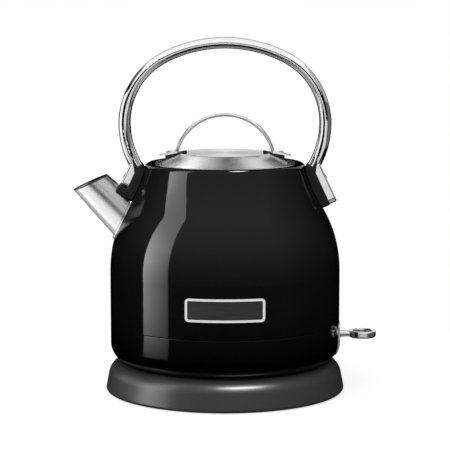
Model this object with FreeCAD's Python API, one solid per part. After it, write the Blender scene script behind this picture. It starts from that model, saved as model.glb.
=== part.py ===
import FreeCAD
import Part
import math
import os

# Electric kettle with a loop handle, a lift-off lid and a round power base.
# Millimetres. The origin is on the table under the middle of the base and +Z is up.
# The spout points along -X, the switch lever along +X and the badge faces -Y.

# Clearances
FIT = 0.15              # between fixed pieces that seat on one another
RUN_GAP = 0.3           # between pieces that move past one another
PIN_PLAY = 0.05         # radial play of a pin or rod in its running fit

# Power base
BASE_OVERHANG = 3.5     # base radius beyond the kettle body
BASE_H = 22.4           # table to the crest of the base
BASE_SHOULDER_R = 11.0  # rounding between the wall and the crest
BASE_FLARE_DEG = 11.0   # lean of the wall
BASE_EDGE_R = 2.0       # rounding of the bottom edge
BASE_WALL = 2.4         # thickness of the moulded cover
SIT_DEPTH = 0.4         # how far the kettle sits below the crest
PLATE_RECESS = 0.8      # bottom plate above the cover's lower edge
PLATE_T = 2.0           # thickness of the bottom plate
FOOT_SHOW = 0.3         # feet below the cover's lower edge
FOOT_R = 6.5            # rubber foot
FOOT_COUNT = 4
FOOT_START_DEG = 45.0
FOOT_INSET = 16.0       # foot centre to the base's outer radius
FOOT_STEM_R = 2.0       # stem that holds a foot in the bottom plate
BASE_SCREW_COUNT = 3
BASE_SCREW_START_DEG = 30.0
BASE_SCREW_INSET = 30.0  # base screw to the base's outer radius

# Screws of the base, the casing and the handle
SCREW_R = 1.5
SCREW_HEAD_R = 2.9
SCREW_HEAD_H = 1.8
SCREW_BITE = 9.0        # thread length in the piece it holds
BOSS_WALL = 2.2         # plastic around a screw

# Round connector between base and kettle
HUB_R = 17.5            # socket hub that stands in the dish
HUB_H = 11.3            # hub above the dish
HUB_FLANGE_W = 6.0      # flange that holds the hub under the cover
HUB_FLANGE_T = 3.0
HUB_POST_COUNT = 3      # posts of the bottom plate that carry the hub
HUB_POST_START_DEG = 90.0
SLOT_DEPTH = 12.0       # depth of the ring slots from the hub's top
PIN_R = 2.6             # middle pin
INNER_RING_R = 8.2      # inside of the inner contact ring
OUTER_RING_R = 12.8     # inside of the outer contact ring
RING_T = 1.0            # thickness of a contact ring
SLOT_PLAY = 0.4         # air on each side of a pin or ring
CONTACT_T = 0.6         # spring contact that lines a slot
CONTACT_H = 5.0
TERMINAL_R = 0.9        # terminal under each spring contact
TERMINAL_DROP = 4.0     # terminal below the socket
PLUG_SKIRT_T = 2.3      # skirt of the plug around the hub
PLUG_TOP_GAP = 1.0      # hub top to the plug
PLUG_FLANGE_T = 4.0

# Cord inlet at the back of the base
GLAND_BORE_R = 3.5
GLAND_WALL = 1.5
GLAND_RISE = 1.4        # gland's lip above the bottom plate
GLAND_LENGTH = 10.0
GLAND_LIP = 1.5         # width and thickness of the lip inside the cover
GLAND_SHOW = 0.3        # gland inside the base's largest radius

# Lower casing of the kettle
BODY_R = 85.1           # widest radius of casing and shell
CASING_H = 29.5
CASING_CORNER_R = 14.0
CASING_T = 2.5
COLLAR_T = 2.0          # wall round the plug
SPIGOT_T = 2.0          # ring that centres the shell
SPIGOT_H = 4.2          # spigot above the casing's edge
SPIGOT_ROOT = 6.0       # spigot below the casing's edge
SEAM_GAP = 0.5          # groove between casing and shell
CASING_SCREW_COUNT = 3
CASING_SCREW_START_DEG = 60.0
CASING_SCREW_INSET = 9.1  # casing screw inside the flat of the casing's floor
CASING_BOSS_H = 8.0

# Shell: a straight wall, a round shoulder, a slightly hollow neck and a rolled rim
SHELL_T = 1.0
WALL_H = 38.0           # seam to the start of the shoulder
SHOULDER_R = 90.0
FLARE_DEG = 31.0        # steepest lean between shoulder and neck
NECK_LEAN_DEG = 15.8    # lean where the neck meets the rim
NECK_INSET = 26.0       # widest radius of the rim inside the body's
RIM_R = 3.4             # rolled rim
LIP_DEPTH = 11.0        # rim top to the underside of the lid ledge
LEDGE_W = 3.5           # ledge that carries the lid

# Vessel floor and heater
FLOOR_RISE = 8.0        # shell's lower edge to the vessel floor
FLOOR_T = 1.2
FLOOR_RIM_H = 4.0       # turned-down rim of the floor
SEAL_W = 2.0
SPREADER_GAP = 2.0      # heat spreader to the switch
SPREADER_T = 3.0
ELEMENT_INSET = 11.0    # centre line of the element inside the heat spreader
ELEMENT_W = 7.0
ELEMENT_H = 6.0
ELEMENT_GAP_DEG = 66.0  # opening of the element's loop, towards the switch
TAIL_R = 1.5            # end pins of the element
TAIL_DROP = 5.0
LEAD_W = 5.0
LEAD_T = 1.2
STUD_WALL = 1.7
MODULE_R = 26.0
MODULE_H = 10.0
MODULE_POST_COUNT = 3
MODULE_POST_START_DEG = 90.0
MODULE_POST_R = 3.0
MODULE_POST_CIRCLE_R = 20.0
BIMETAL_R = 8.0
BIMETAL_T = 0.5
BIMETAL_X = 10.0        # each snap disc from the middle
BIMETAL_LAP = 2.0       # snap disc beyond its post

# Steam path and switch
TUBE_R = 4.5
TUBE_WALL = 1.0
TUBE_INSET = 34.1       # steam tube's axis inside the body's radius
TUBE_TOP_GAP = 8.0      # open end below the lid ledge
GROMMET_W = 2.2
GROMMET_LAP = 1.5       # width and height of the collar above the floor
LEVER_DROP = 10.2       # lever below the casing's upper edge
PIVOT_INSET = 8.1       # lever pivot inside the body
LEVER_REACH = 27.5      # lever beyond the body
LEVER_SWING_DEG = 12.0
RING_OUT_R = 10.2       # finger ring of the lever
RING_HOLE_R = 7.2
RING_H = 5.2
RING_EDGE_R = 1.45
STEM_W = 6.0            # lever stem across
STEM_H = 5.6            # lever stem upright, at the pivot
STEM_TIP_H = 4.6        # lever stem upright, at the ring
LEVER_HUB_R = 4.0
LEVER_HUB_W = 12.0
LEVER_PIN_R = 1.5
ARM_T = 3.6             # lever arm that lifts the plunger
EAR_T = 2.5             # ears that hold the lever pin
EAR_H = 11.0
EAR_NOSE = 3.5          # ear beyond the pin
HOUSING_L = 16.0        # housing block along X
HOUSING_ABOVE = 9.7     # housing block above the lever
TUBE_SEAT = 3.0         # steam tube inside the housing
PLUNGER_R = 2.0
PLUNGER_INSET = 12.0    # plunger from the pivot, towards the middle
GUIDE_Z = 5.7           # plunger guide above the lever
GUIDE_T = 2.5
PLUNGER_TOP = 9.2       # plunger's top above the lever
BRIDGE_W = 15.0
BRIDGE_L = 5.0
BRIDGE_T = 1.0
CONTACT_R = 1.8
CARRIER_T = 1.5         # plate that carries the fixed contacts
STEAM_DISC_R = 5.0
BEZEL_T = 0.8
BEZEL_W = 24.0
BEZEL_BELOW = 14.8
BEZEL_ABOVE = 8.9
BEZEL_CORNER_R = 4.0
SLOT_MARGIN = 0.6       # air around the lever in its slot

# Spout and filter
SPOUT_RISE = 78.7       # seam to where the spout's axis meets the shell
SPOUT_PITCH_DEG = 44.6  # climb of the axis
SPOUT_L = 34.5          # axis from the shell to the mouth
SPOUT_ROOT_R = 15.35
SPOUT_MOUTH_R = 12.7
MOUTH_CUT_DEG = 21.0    # mouth leaning back from square
SPOUT_T = 1.0
FLANGE_W = 1.8          # flare welded round the spout's root
FLANGE_T = 1.2
FILTER_IN = 4.0         # filter collar inside the spout
FILTER_WALL = 1.0
FILTER_FLANGE_W = 2.0
FILTER_FLANGE_T = 1.8
MESH_T = 0.5
MESH_PITCH = 2.2
MESH_HOLE = 1.5

# Badge
BADGE_RISE = 21.3       # seam to the middle of the badge
BADGE_W = 56.6
BADGE_H = 16.7
BADGE_CORNER_R = 2.8
BADGE_BAND = 1.7        # width of the frame
BADGE_FRAME_T = 1.5
BADGE_PLATE_T = 0.9

# Loop handle and its brackets
HANDLE_REACH = 14.8     # middle line at its widest, beyond the neck
HANDLE_WIDE_RISE = 29.1  # rim to the widest place
HANDLE_TOP_RISE = 88.2  # rim to the middle line's top
HANDLE_SIDE_SHARE = 0.924  # radius of the loop's sides over its height above the widest place
HANDLE_T = 8.6          # thickness in the plane of the loop
HANDLE_W = 18.0         # width across the loop
HANDLE_EDGE_R = 4.2     # rounding of the narrow sides
TAB_LEAN_DEG = 25.0
TAB_STAND = 4.3         # tab's inner face beyond the neck, at rim height
TAB_START = 3.2         # first and last point of a tab below the rim, along it
LEVER_TAB_END = 33.3
SPOUT_TAB_END = 20.5
TAB_T = 5.6
TAB_W = 20.0
TAB_CORNER_R = 4.0
TAB_EDGE_R = 1.2        # rounding of a tab's outer edges
JOIN_DOWN = 3.4         # where the loop runs into the tab
JOIN_OUT = 0.4
NOTCH_OUT = 2.8         # tip of the notch from the loop's end, outwards and up
NOTCH_UP = 7.4
NOTCH_IN = 1.4          # notch inside the middle line, on the loop's end
NOTCH_DOWN = 7.5        # foot of the notch below the rim, along the tab
BRACKET_W = 22.0
BRACKET_DROP = 4.5      # bracket below the rim's top, at the neck
SPOUT_FOOT_REACH = 6.2
SPOUT_FOOT_T = 6.0
HANDLE_SCREW_DOWN = 12.5
HANDLE_SCREW_R = 2.0
HANDLE_HEAD_R = 3.4
HANDLE_HEAD_H = 1.6
HANDLE_BOSS_R = 4.5
HANDLE_BOSS_TOP = 1.5   # welded boss below the tab
HANDLE_BITE = 4.0       # screw inside the boss

# Lid
LID_GAP = 0.4           # lid rim to the rolled rim
LID_SINK = 0.2          # lid rim below the rim's top
LID_SLOPE_W = 18.9      # sloping band round the lid's flat top
LID_RISE = 7.4
LID_T = 0.9
LID_EDGE_R = 0.6        # rounding of the lid's two edges
LID_SKIRT_H = 3.0
PLUG_WALL = 1.5
PLUG_FLOOR_T = 1.5
LID_SEAL_H = 3.0
LID_ARCH_INSET = 15.2   # radius of the lid handle's middle line inside the lid's
LID_ARCH_DROP = 8.4     # arch centre below the lid's top
STRIP_T = 2.4
STRIP_W = 12.0
STRIP_EDGE_R = 1.1      # rounding of the arch's edges
LID_TAB_DEG = 10.5      # slope of the lid handle's tabs
LID_TAB_L = 12.5
LID_TAB_T = 1.7
LID_PAD_IN = 7.5        # pad inside the bend
LID_PAD_OUT = 8.5       # pad beyond the bend
RIVET_OUT = 5.7         # rivet beyond the bend
RIVET_R = 1.5
RIVET_HEAD_R = 2.6
RIVET_HEAD_H = 1.2
RIVET_TAIL_H = 1.4

Vector = FreeCAD.Vector
ORIGIN = Vector(0, 0, 0)
UP = Vector(0, 0, 1)
ALONG = Vector(1, 0, 0)
ACROSS = Vector(0, 1, 0)
FRONT = Vector(0, -1, 0)
LONG = 400.0            # longer than the kettle, for cutting tools


def sine(degrees):
    return math.sin(math.radians(degrees))


def cosine(degrees):
    return math.cos(math.radians(degrees))


def tangent(degrees):
    return math.tan(math.radians(degrees))


# Places that follow from the sizes above
base_r = BODY_R + BASE_OVERHANG
casing_z = BASE_H - SIT_DEPTH
dish_z = casing_z - RUN_GAP
dish_under = dish_z - BASE_WALL
plate_z = FOOT_SHOW + PLATE_RECESS
plate_top = plate_z + PLATE_T
hub_top = dish_z + HUB_H
slot_floor = hub_top - SLOT_DEPTH
socket_under = dish_under - HUB_FLANGE_T
plug_z = hub_top + PLUG_TOP_GAP
plug_top = plug_z + PLUG_FLANGE_T
plug_r = HUB_R + SLOT_PLAY + PLUG_SKIRT_T
collar_r = plug_r + RUN_GAP
casing_top = casing_z + CASING_H
casing_flat_r = BODY_R - CASING_CORNER_R
seam_z = casing_top + SEAM_GAP
shell_in_r = BODY_R - SHELL_T
spigot_r = shell_in_r - RUN_GAP
shoulder_z = seam_z + WALL_H
neck_r = BODY_R - NECK_INSET
shoulder_inset = SHOULDER_R * (1 - cosine(FLARE_DEG))
neck_top_inset = NECK_INSET + RIM_R * (1 - cosine(NECK_LEAN_DEG))
neck_curve_r = (neck_top_inset - shoulder_inset) / (cosine(NECK_LEAN_DEG) - cosine(FLARE_DEG))
shoulder_end_z = shoulder_z + SHOULDER_R * sine(FLARE_DEG)
neck_top_z = shoulder_end_z + neck_curve_r * (sine(FLARE_DEG) - sine(NECK_LEAN_DEG))
rim_z = neck_top_z + RIM_R * (1 - sine(NECK_LEAN_DEG))
mouth_r = neck_r - 2 * RIM_R
ledge_z = rim_z - LIP_DEPTH + SHELL_T
floor_top = seam_z + FLOOR_RISE
floor_under = floor_top - FLOOR_T
floor_r = shell_in_r - FIT - SEAL_W
spreader_under = floor_under - SPREADER_T
element_under = spreader_under - ELEMENT_H
module_z = plug_top + RUN_GAP
module_top = module_z + MODULE_H
lever_z = casing_top - LEVER_DROP
pivot_x = BODY_R - PIVOT_INSET
ring_x = BODY_R + LEVER_REACH - RING_OUT_R
plunger_x = pivot_x - PLUNGER_INSET
plunger_lift = PLUNGER_INSET * math.radians(LEVER_SWING_DEG)
tube_x = BODY_R - TUBE_INSET
housing_x1 = tube_x + HOUSING_L / 2
spreader_r = housing_x1 - SPREADER_GAP
element_r = spreader_r - ELEMENT_INSET
ear_gap = LEVER_HUB_W + 2 * RUN_GAP
housing_w = ear_gap + 2 * EAR_T
carrier_top = floor_under - FIT
lid_r = mouth_r - LID_GAP
lid_top_r = lid_r - LID_SLOPE_W
lid_arch_r = lid_r - LID_ARCH_INSET
lid_rim_z = rim_z - LID_SINK
lid_top_z = lid_rim_z + LID_RISE
lid_plug_z = ledge_z + FIT
lid_flange_r = mouth_r - 2 * FIT
lid_plug_r = lid_r - LID_T - FIT
badge_z = seam_z + BADGE_RISE


# Small shape helpers
def at(x, z):
    """A point of the side view, in the plane y = 0."""
    return Vector(x, 0, z)


def polar(centre, radius, degrees):
    """A point of the side view at an angle counted from +X towards +Z."""
    return centre + Vector(radius * cosine(degrees), 0, radius * sine(degrees))


def arc(centre, radius, start, end):
    """Start, middle and end of an arc in the side view."""
    return tuple(polar(centre, radius, degrees) for degrees in (start, (start + end) / 2, end))


def outline(*steps):
    """A closed wire through points and three-point arcs, joined by straight edges."""
    runs = [step if isinstance(step, tuple) else (step,) for step in steps]
    edges = []
    for run, following in zip(runs, runs[1:] + runs[:1]):
        if len(run) == 3:
            edges.append(Part.Arc(*run).toShape())
        if run[-1].distanceToPoint(following[0]) > 1e-6:
            edges.append(Part.makeLine(run[-1], following[0]))
    return Part.Wire(edges)


def turned(*steps, degrees=360):
    """A solid of revolution about the upright axis."""
    return Part.Face(outline(*steps)).revolve(ORIGIN, UP, degrees)


def disc(radius, low, high, x=0, y=0):
    return Part.makeCylinder(radius, high - low, Vector(x, y, low))


def tube(outer, inner, low, high, x=0, y=0):
    return disc(outer, low, high, x, y).cut(disc(inner, low, high, x, y))


def rounded_ring(outer, inner, height, edge):
    """A ring about the upright axis at the origin, with all its edges rounded."""
    half = height / 2 - edge
    return turned(
        arc(at(inner + edge, half), edge, 180, 90),
        arc(at(outer - edge, half), edge, 90, 0),
        arc(at(outer - edge, -half), edge, 0, -90),
        arc(at(inner + edge, -half), edge, -90, -180),
    )


def block(x0, x1, width, low, high):
    """A box that is centred on the plane y = 0."""
    return Part.makeBox(x1 - x0, width, high - low, Vector(x0, -width / 2, low))


def crossbar(radius, width, x, z):
    """A round bar along Y, centred on the plane y = 0."""
    return Part.makeCylinder(radius, width, Vector(x, -width / 2, z), ACROSS)


def rod(radius, x0, x1, z):
    """A round bar along X in the plane y = 0."""
    return Part.makeCylinder(radius, x1 - x0, at(x0, z), ALONG)


def spread(count, radius, start=0):
    """Points evenly spaced on a circle about the upright axis."""
    angles = [start + index * 360 / count for index in range(count)]
    return [(radius * cosine(angle), radius * sine(angle)) for angle in angles]


def mirrored(shape):
    return shape.mirror(ORIGIN, ALONG)


def rounded_plate(width, height, corner, middle_z):
    """An upright rounded rectangle in the plane y = 0."""
    x = width / 2 - corner
    z = height / 2 - corner
    return outline(
        arc(at(x, middle_z + z), corner, 0, 90),
        arc(at(-x, middle_z + z), corner, 90, 180),
        arc(at(-x, middle_z - z), corner, 180, 270),
        arc(at(x, middle_z - z), corner, 270, 360),
    )


def screw(x, y, low, length, radius, head_r, head_h):
    """An upright screw with its head at the bottom."""
    return disc(head_r, low, low + head_h, x, y).fuse(disc(radius, low, low + head_h + length, x, y))


# Power base
base_edge_c = at(base_r - BASE_EDGE_R, FOOT_SHOW + BASE_EDGE_R)
base_wall_foot = polar(base_edge_c, BASE_EDGE_R, BASE_FLARE_DEG)
base_shoulder_z = BASE_H - BASE_SHOULDER_R
base_wall_h = base_shoulder_z + BASE_SHOULDER_R * sine(BASE_FLARE_DEG) - base_wall_foot.z
base_wall_top_x = base_wall_foot.x - base_wall_h * tangent(BASE_FLARE_DEG)
base_shoulder_c = at(base_wall_top_x - BASE_SHOULDER_R * cosine(BASE_FLARE_DEG), base_shoulder_z)
base_screw_places = spread(BASE_SCREW_COUNT, base_r - BASE_SCREW_INSET, BASE_SCREW_START_DEG)
foot_places = spread(FOOT_COUNT, base_r - FOOT_INSET, FOOT_START_DEG)
gland_y = base_r - GLAND_SHOW
gland_r = GLAND_BORE_R + GLAND_WALL
gland_lip_r = gland_r + GLAND_LIP
gland_z = plate_top + GLAND_RISE + gland_lip_r


def base_inside(height):
    """Inner radius of the cover's wall at a height."""
    round_r = BASE_SHOULDER_R - BASE_WALL
    top = polar(base_shoulder_c, round_r, BASE_FLARE_DEG)
    if height > top.z:
        return base_shoulder_c.x + math.sqrt(round_r ** 2 - (height - base_shoulder_z) ** 2)
    return top.x + (top.z - height) * tangent(BASE_FLARE_DEG)


def casing_body(gap):
    """The casing's outside as a full solid, grown by a gap."""
    corner_c = at(casing_flat_r, casing_z + CASING_CORNER_R)
    return turned(
        at(0, casing_z - gap),
        arc(corner_c, CASING_CORNER_R + gap, -90, 0),
        at(BODY_R + gap, casing_top),
        at(0, casing_top),
    )


def base_cover():
    shape = turned(
        at(0, FOOT_SHOW),
        arc(base_edge_c, BASE_EDGE_R, -90, BASE_FLARE_DEG),
        arc(base_shoulder_c, BASE_SHOULDER_R, BASE_FLARE_DEG, 90),
        at(0, BASE_H),
    )
    hollow = turned(
        at(0, FOOT_SHOW),
        at(base_inside(FOOT_SHOW), FOOT_SHOW),
        arc(base_shoulder_c, BASE_SHOULDER_R - BASE_WALL, BASE_FLARE_DEG, 90),
        at(casing_flat_r, dish_under),
        at(0, dish_under),
    )
    shape = shape.cut(casing_body(RUN_GAP)).cut(hollow)
    for x, y in base_screw_places:
        shape = shape.fuse(disc(SCREW_R + BOSS_WALL, plate_top, dish_under, x, y))
        shape = shape.cut(disc(SCREW_R, plate_top, plate_top + SCREW_BITE, x, y))
    shape = shape.cut(disc(HUB_R + FIT, dish_under, BASE_H))
    return shape.cut(Part.makeCylinder(gland_r + FIT, base_r, Vector(0, 0, gland_z), ACROSS))


def base_plate():
    shape = disc(base_inside(plate_top) - FIT, plate_z, plate_top)
    post_r = (HUB_FLANGE_W - FIT) / 2
    for x, y in spread(HUB_POST_COUNT, HUB_R + HUB_FLANGE_W / 2, HUB_POST_START_DEG):
        shape = shape.fuse(disc(post_r, plate_top, socket_under, x, y))
    for x, y in base_screw_places:
        shape = shape.cut(disc(SCREW_R + FIT, plate_z, plate_top, x, y))
        shape = shape.cut(disc(SCREW_HEAD_R + FIT, plate_z, plate_z + SCREW_HEAD_H / 2, x, y))
    for x, y in foot_places:
        shape = shape.cut(disc(FOOT_STEM_R, plate_z, plate_top, x, y))
    return shape


def base_feet():
    feet = []
    for x, y in foot_places:
        foot = disc(FOOT_R, 0, plate_z, x, y)
        foot = foot.fuse(disc(FOOT_STEM_R, plate_z, plate_top, x, y))
        feet.append(foot)
    return Part.makeCompound(feet)


def base_screws():
    low = plate_z - SCREW_HEAD_H / 2
    length = PLATE_T - SCREW_HEAD_H / 2 + SCREW_BITE - RUN_GAP
    return Part.makeCompound([
        screw(x, y, low, length, SCREW_R, SCREW_HEAD_R, SCREW_HEAD_H) for x, y in base_screw_places
    ])


def slot_walls():
    """Inner and outer radius of each slot of the hub, the middle one first."""
    walls = [(0, PIN_R + SLOT_PLAY + CONTACT_T)]
    for inner in (INNER_RING_R, OUTER_RING_R):
        walls.append((inner - SLOT_PLAY, inner + RING_T + SLOT_PLAY + CONTACT_T))
    return walls


def terminal_places():
    """Each terminal hangs from the middle of its contact's wall, evenly turned about the hub."""
    walls = slot_walls()
    places = []
    for index, (inner, outer) in enumerate(walls):
        places.append(spread(len(walls), outer - CONTACT_T / 2)[index])
    return places


def base_socket():
    shape = disc(HUB_R, socket_under, hub_top)
    shape = shape.fuse(disc(HUB_R + HUB_FLANGE_W, socket_under, dish_under))
    for inner, outer in slot_walls():
        slot = disc(outer, slot_floor, hub_top)
        if inner > 0:
            slot = tube(outer, inner, slot_floor, hub_top)
        shape = shape.cut(slot)
    for x, y in terminal_places():
        shape = shape.cut(disc(TERMINAL_R, socket_under, slot_floor, x, y))
    return shape


def socket_contacts():
    contacts = []
    for (inner, outer), (x, y) in zip(slot_walls(), terminal_places()):
        sleeve = tube(outer, outer - CONTACT_T, slot_floor, slot_floor + CONTACT_H)
        contacts.append(sleeve.fuse(disc(TERMINAL_R, socket_under - TERMINAL_DROP, slot_floor, x, y)))
    return Part.makeCompound(contacts)


def cord_gland():
    start = Vector(0, gland_y - GLAND_LENGTH, gland_z)
    shape = Part.makeCylinder(gland_r, GLAND_LENGTH, start, ACROSS)
    wall_y = math.sqrt(base_inside(gland_z + gland_lip_r) ** 2 - gland_lip_r ** 2)
    lip_start = Vector(0, wall_y - FIT - GLAND_LIP, gland_z)
    shape = shape.fuse(Part.makeCylinder(gland_lip_r, GLAND_LIP, lip_start, ACROSS))
    return shape.cut(Part.makeCylinder(GLAND_BORE_R, GLAND_LENGTH, start, ACROSS))


# Round plug under the kettle
def connector_plug():
    skirt_z = dish_z + PLUG_TOP_GAP
    return disc(plug_r, plug_z, plug_top).fuse(tube(plug_r, plug_r - PLUG_SKIRT_T, skirt_z, plug_z))


def connector_pins():
    tip = slot_floor + PLUG_TOP_GAP
    pins = [disc(PIN_R, tip, plug_z)]
    for inner in (INNER_RING_R, OUTER_RING_R):
        pins.append(tube(inner + RING_T, inner, tip, plug_z))
    return Part.makeCompound(pins)


# Lower casing
casing_screw_places = spread(CASING_SCREW_COUNT, casing_flat_r - CASING_SCREW_INSET, CASING_SCREW_START_DEG)
casing_boss_top = casing_z + CASING_BOSS_H
casing_head_z = casing_z + SCREW_HEAD_H / 2


def lever_slot(x0, x1):
    """The upright opening that the lever stem needs over its swing."""
    drop = (x1 - pivot_x) * tangent(LEVER_SWING_DEG)
    half = STEM_H / 2 / cosine(LEVER_SWING_DEG) + SLOT_MARGIN
    return block(x0, x1, STEM_W + 2 * SLOT_MARGIN, lever_z - drop - half, lever_z + half)


def lower_casing():
    corner_c = at(casing_flat_r, casing_z + CASING_CORNER_R)
    hollow = turned(
        at(0, casing_z + CASING_T),
        arc(corner_c, CASING_CORNER_R - CASING_T, -90, 0),
        at(BODY_R - CASING_T, casing_top),
        at(0, casing_top),
    )
    shape = casing_body(0).cut(hollow)
    spigot_low = casing_top - SPIGOT_ROOT
    shape = shape.fuse(tube(spigot_r, spigot_r - SPIGOT_T, spigot_low, casing_top + SPIGOT_H))
    shape = shape.fuse(disc(collar_r + COLLAR_T, casing_z, plug_top))
    for x, y in casing_screw_places:
        shape = shape.fuse(disc(SCREW_HEAD_R + BOSS_WALL, casing_z, casing_boss_top, x, y))
    shape = shape.cut(disc(collar_r, casing_z, plug_top))
    for x, y in casing_screw_places:
        shape = shape.cut(disc(SCREW_R + FIT, casing_z, casing_boss_top, x, y))
        shape = shape.cut(disc(SCREW_HEAD_R + FIT, casing_z, casing_head_z + SCREW_HEAD_H, x, y))
    return shape.cut(lever_slot(pivot_x, BODY_R + BEZEL_T))


def casing_screws():
    length = casing_boss_top - casing_head_z - SCREW_HEAD_H + SCREW_BITE
    return Part.makeCompound([
        screw(x, y, casing_head_z, length, SCREW_R, SCREW_HEAD_R, SCREW_HEAD_H)
        for x, y in casing_screw_places
    ])


# Vessel floor and heater
def heater_plate():
    shape = disc(floor_r, floor_under, floor_top)
    shape = shape.fuse(tube(floor_r, floor_r - FLOOR_T, floor_top - FLOOR_RIM_H, floor_top))
    return shape.cut(disc(TUBE_R + GROMMET_W, floor_under, floor_top, tube_x))


def floor_seal():
    return tube(floor_r + SEAL_W, floor_r, floor_top - FLOOR_RIM_H, floor_top)


def heater_studs():
    studs = []
    for x, y in casing_screw_places:
        stud = disc(SCREW_R + STUD_WALL, casing_boss_top, floor_under, x, y)
        thread = disc(SCREW_R, casing_boss_top, casing_boss_top + SCREW_BITE + FIT, x, y)
        studs.append(stud.cut(thread))
    return Part.makeCompound(studs)


def heat_spreader():
    shape = disc(spreader_r, spreader_under, floor_under)
    return shape.cut(disc(TUBE_R + GROMMET_W + RUN_GAP, spreader_under, floor_under, tube_x))


def element_ends():
    return [(angle, element_r * cosine(angle), element_r * sine(angle))
            for angle in (ELEMENT_GAP_DEG / 2, -ELEMENT_GAP_DEG / 2)]


def heating_element():
    half = ELEMENT_W / 2
    round_z = element_under + half
    shape = turned(
        at(element_r - half, spreader_under),
        arc(at(element_r, round_z), half, 180, 360),
        at(element_r + half, spreader_under),
        degrees=360 - ELEMENT_GAP_DEG,
    )
    shape.rotate(ORIGIN, UP, ELEMENT_GAP_DEG / 2)
    for angle, x, y in element_ends():
        shape = shape.fuse(disc(TAIL_R, element_under - TAIL_DROP, spreader_under, x, y))
    return shape


def element_leads():
    """Straps from the element's end pins to the control module."""
    top = element_under - TAIL_DROP
    leads = []
    for angle, x, y in element_ends():
        strap = block(MODULE_R + FIT, element_r + TAIL_R, LEAD_W, top - LEAD_T, top)
        strap.rotate(ORIGIN, UP, angle)
        leads.append(strap)
    return Part.makeCompound(leads)


def control_module():
    shape = disc(MODULE_R, module_z, module_top)
    for x, y in spread(MODULE_POST_COUNT, MODULE_POST_CIRCLE_R, MODULE_POST_START_DEG):
        shape = shape.fuse(disc(MODULE_POST_R, module_top, spreader_under, x, y))
    for x in (-BIMETAL_X, BIMETAL_X):
        shape = shape.fuse(disc(BIMETAL_R - BIMETAL_LAP, module_top, spreader_under - BIMETAL_T - FIT, x))
    return shape


def bimetal_discs():
    low = spreader_under - BIMETAL_T - FIT
    return Part.makeCompound([disc(BIMETAL_R, low, low + BIMETAL_T, x) for x in (-BIMETAL_X, BIMETAL_X)])


# Steam path and switch
housing_top = lever_z + HOUSING_ABOVE
guide_z = lever_z + GUIDE_Z
bridge_z = lever_z + PLUNGER_TOP
carrier_x1 = plunger_x + BRIDGE_L / 2 + CARRIER_T


def steam_tube():
    return tube(TUBE_R, TUBE_R - TUBE_WALL, housing_top - TUBE_SEAT, ledge_z - TUBE_TOP_GAP, tube_x)


def tube_grommet():
    outer = TUBE_R + GROMMET_W
    shape = tube(outer, TUBE_R, floor_under, floor_top, tube_x)
    collar = tube(outer + GROMMET_LAP, TUBE_R, floor_top, floor_top + GROMMET_LAP, tube_x)
    return shape.fuse(collar)


def switch_housing():
    shape = block(tube_x - HOUSING_L / 2, housing_x1, housing_w, casing_z + CASING_T, housing_top)
    shape = shape.cut(disc(TUBE_R, housing_top - TUBE_SEAT, housing_top, tube_x))
    shape = shape.cut(disc(STEAM_DISC_R + FIT, lever_z, housing_top - TUBE_SEAT, tube_x))
    ears = block(housing_x1, pivot_x + EAR_NOSE, housing_w, lever_z - EAR_H / 2, lever_z + EAR_H / 2)
    ears = ears.cut(block(housing_x1, LONG, ear_gap, lever_z - EAR_H, lever_z + EAR_H))
    guide = block(housing_x1, plunger_x + PLUNGER_R + CARRIER_T, housing_w, guide_z, guide_z + GUIDE_T)
    carrier = block(housing_x1, carrier_x1, housing_w, carrier_top - CARRIER_T, carrier_top)
    wall = block(housing_x1, housing_x1 + CARRIER_T, housing_w, lever_z, carrier_top)
    wall = wall.cut(block(0, LONG, BRIDGE_W - 2 * CARRIER_T, lever_z, guide_z))
    shape = shape.fuse([ears, guide, carrier, wall])
    shape = shape.cut(disc(PLUNGER_R + PIN_PLAY, guide_z, guide_z + GUIDE_T, plunger_x))
    return shape.cut(crossbar(LEVER_PIN_R, LONG, pivot_x, lever_z))


def steam_bimetal():
    return disc(STEAM_DISC_R, lever_z, lever_z + BIMETAL_T, tube_x)


def lever_pin():
    return crossbar(LEVER_PIN_R, housing_w, pivot_x, lever_z)


def stem_section(x, width, height):
    """An upright oval across the stem."""
    edges = Part.Ellipse(ORIGIN, max(width, height) / 2, min(width, height) / 2).toShape()
    wire = Part.Wire([edges])
    wire.rotate(ORIGIN, ACROSS, 90)
    if width > height:
        wire.rotate(ORIGIN, ALONG, 90)
    wire.translate(at(x, lever_z))
    return wire


def switch_lever():
    stem_end = ring_x - RING_HOLE_R - RING_EDGE_R
    shape = Part.makeLoft([
        stem_section(pivot_x, STEM_W, STEM_H),
        stem_section(stem_end, STEM_W, STEM_TIP_H),
    ], True, True)
    ring = rounded_ring(RING_OUT_R, RING_HOLE_R, RING_H, RING_EDGE_R)
    ring.translate(at(ring_x, lever_z))
    hub = crossbar(LEVER_HUB_R, LEVER_HUB_W, pivot_x, lever_z)
    arm = block(plunger_x, pivot_x, STEM_W, lever_z - ARM_T / 2, lever_z + ARM_T / 2)
    shape = shape.fuse([ring, hub, arm])
    return shape.cut(crossbar(LEVER_PIN_R + PIN_PLAY, LONG, pivot_x, lever_z))


def contact_plunger():
    return disc(PLUNGER_R, lever_z + ARM_T / 2 + RUN_GAP, bridge_z, plunger_x)


def contact_bridge():
    half = BRIDGE_L / 2
    return block(plunger_x - half, plunger_x + half, BRIDGE_W, bridge_z, bridge_z + BRIDGE_T)


def fixed_contacts():
    low = bridge_z + BRIDGE_T + plunger_lift + FIT
    y = BRIDGE_W / 2 - CONTACT_R
    return Part.makeCompound([disc(CONTACT_R, low, carrier_top - CARRIER_T, plunger_x, side * y)
                              for side in (-1, 1)])


def plate_on(skin, wire, toward):
    """The part of a skin that lies within an outline, seen along a direction."""
    return skin.common(Part.Face(wire).extrude(toward * LONG))


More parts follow.
